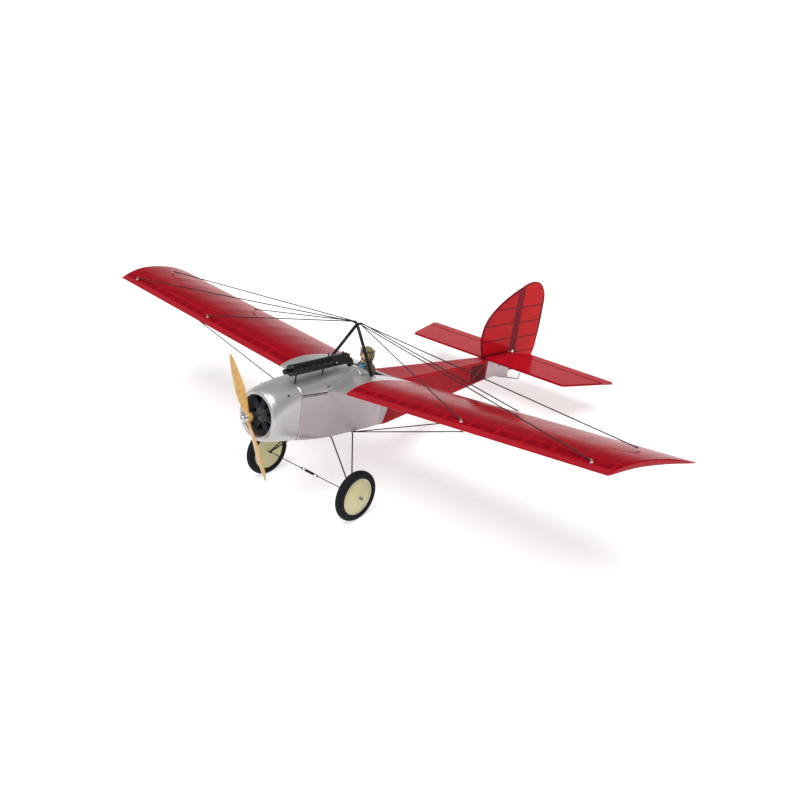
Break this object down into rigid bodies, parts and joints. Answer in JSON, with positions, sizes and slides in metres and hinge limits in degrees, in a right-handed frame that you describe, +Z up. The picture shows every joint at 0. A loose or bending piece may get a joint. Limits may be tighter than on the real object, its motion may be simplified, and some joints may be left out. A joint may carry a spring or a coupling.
{
  "type": "radio-controlled model aeroplane",
  "caption": "Wire-braced high-wing monoplane flying model with a wooden propeller, dummy engine, pilot bust, dished wheels and hinged tail surfaces.",
  "frame": {"origin": "on the ground under the middle of the model's box, which rests on its two wheels and tail skid", "axes": "+X towards the model's left wing tip, +Y towards its tail, +Z up"},
  "size_m": [1.6072, 1.1398, 0.3891],
  "materials": {
    "silver_paint": "satin silver paint",
    "red_film": "glossy transparent red film",
    "balsa": "bare balsa and plywood",
    "tail_wood": "balsa seen through red film",
    "prop_wood": "varnished beech",
    "dark_engine": "moulded dark grey",
    "black_gloss": "glossy black",
    "black_tube": "black",
    "bright_alloy": "polished",
    "motor_alloy": "anodised",
    "steel_wire": "dark spring steel",
    "tyre_rubber": "matt black",
    "hub_plastic": "cream",
    "cord_black": "elastic cord",
    "hook_plastic": "pale",
    "jacket_cloth": "brown leather",
    "helmet_leather": "olive brown leather",
    "face": "painted skin tone",
    "cell_wrap": "blue wrap",
    "case_plastic": "black",
    "white_nylon": "white nylon"
  },
  "bodies": {
    "airframe": {"cowl": "silver_paint", "cowl_screws": "steel_wire", "dummy_engine": "dark_engine", "motor_stator": "motor_alloy", "battery": "cell_wrap", "speed_controller": "case_plastic", "receiver": "case_plastic", "fuselage_formers": "balsa", "tail_truss": "balsa", "side_panels": "silver_paint", "rear_covering": "red_film", "cockpit_deck": "silver_paint", "pilot_torso": "jacket_cloth", "pilot_head": "face", "pilot_helmet": "helmet_leather", "cabane_legs": "black_tube", "cabane_plate": "black_tube", "wing_left_ribs": "balsa", "wing_right_ribs": "balsa", "wing_left_spars": "balsa", "wing_right_spars": "balsa", "wing_left_covering": "red_film", "wing_right_covering": "red_film", "wing_root_left": "silver_paint", "wing_root_right": "silver_paint", "wing_joiner": "black_tube", "rigging_hooks": "hook_plastic", "rigging_left": "cord_black", "rigging_right": "cord_black", "gear_wire_left": "steel_wire", "gear_wire_right": "steel_wire", "gear_saddles": "case_plastic", "spreader_wires": "steel_wire", "spreader_spring": "steel_wire", "axle_collars": "bright_alloy", "stabiliser_frame": "tail_wood", "stabiliser_covering": "red_film", "fin_frame": "tail_wood", "fin_covering": "red_film", "tail_block": "silver_paint", "tail_skid": "steel_wire", "servos": "case_plastic"},
    "propeller": {"propeller": "prop_wood", "prop_nut": "bright_alloy", "motor_bell": "motor_alloy"},
    "wheel_left": {"tyre_left": "tyre_rubber", "hub_left": "hub_plastic"},
    "wheel_right": {"tyre_right": "tyre_rubber", "hub_right": "hub_plastic"},
    "elevator": {"elevator_frame": "tail_wood", "elevator_covering": "red_film"},
    "rudder": {"rudder_frame": "tail_wood", "rudder_covering": "red_film"},
    "rudder_arm": {"rudder_servo_arm": "white_nylon"},
    "elevator_arm": {"elevator_servo_arm": "white_nylon"},
    "rudder_rod": {"rudder_pushrod": "steel_wire"},
    "elevator_rod": {"elevator_pushrod": "steel_wire"},
    "hatch": {"hatch_deck": "silver_paint", "gun_jacket": "black_gloss", "gun_receiver": "black_gloss"}
  },
  "joints": [
    {"name": "prop_spin", "type": "hinge", "parent": "airframe", "child": "propeller", "pos_m": [0, -0.54626, 0.27149], "axis": [0, 0.9799, -0.1994], "continuous": true},
    {"name": "wheel_left_spin", "type": "hinge", "parent": "airframe", "child": "wheel_left", "pos_m": [0.149, -0.37802, 0.0601], "axis": [1, 0, 0], "continuous": true},
    {"name": "wheel_right_spin", "type": "hinge", "parent": "airframe", "child": "wheel_right", "pos_m": [-0.149, -0.37802, 0.0601], "axis": [1, 0, 0], "continuous": true},
    {"name": "elevator_hinge", "type": "hinge", "parent": "airframe", "child": "elevator", "pos_m": [0, 0.41591, 0.10022], "axis": [1, 0, 0], "range_deg": [-20, 20]},
    {"name": "elevator_servo_turn", "type": "hinge", "parent": "airframe", "child": "elevator_arm", "pos_m": [-0.016, -0.06719, 0.19851], "axis": [1, 0, 0], "range_deg": [-20, 20]},
    {"name": "elevator_rod_pivot", "type": "hinge", "parent": "elevator_arm", "child": "elevator_rod", "pos_m": [-0.016, -0.06958, 0.18675], "axis": [1, 0, 0], "range_deg": [-20, 20]},
    {"name": "rudder_hinge", "type": "hinge", "parent": "airframe", "child": "rudder", "pos_m": [0, 0.43548, 0.1738], "axis": [0, 0.1994, 0.9799], "range_deg": [-25, 25]},
    {"name": "rudder_servo_turn", "type": "hinge", "parent": "airframe", "child": "rudder_arm", "pos_m": [0, -0.08373, 0.17738], "axis": [0, 0.1994, 0.9799], "range_deg": [-25, 25]},
    {"name": "rudder_rod_pivot", "type": "hinge", "parent": "rudder_arm", "child": "rudder_rod", "pos_m": [0.012, -0.08373, 0.17738], "axis": [0, 0.1994, 0.9799], "range_deg": [-25, 25]},
    {"name": "hatch_lift", "type": "slide", "parent": "airframe", "child": "hatch", "axis": [0, 0.1994, 0.9799], "range_m": [0, 0.08]}
  ],
  "couplings": [
    {"joint": "elevator_servo_turn", "follows": "elevator_hinge", "ratio": 1},
    {"joint": "elevator_rod_pivot", "follows": "elevator_hinge", "ratio": -1},
    {"joint": "rudder_servo_turn", "follows": "rudder_hinge", "ratio": 1},
    {"joint": "rudder_rod_pivot", "follows": "rudder_hinge", "ratio": -1}
  ]
}
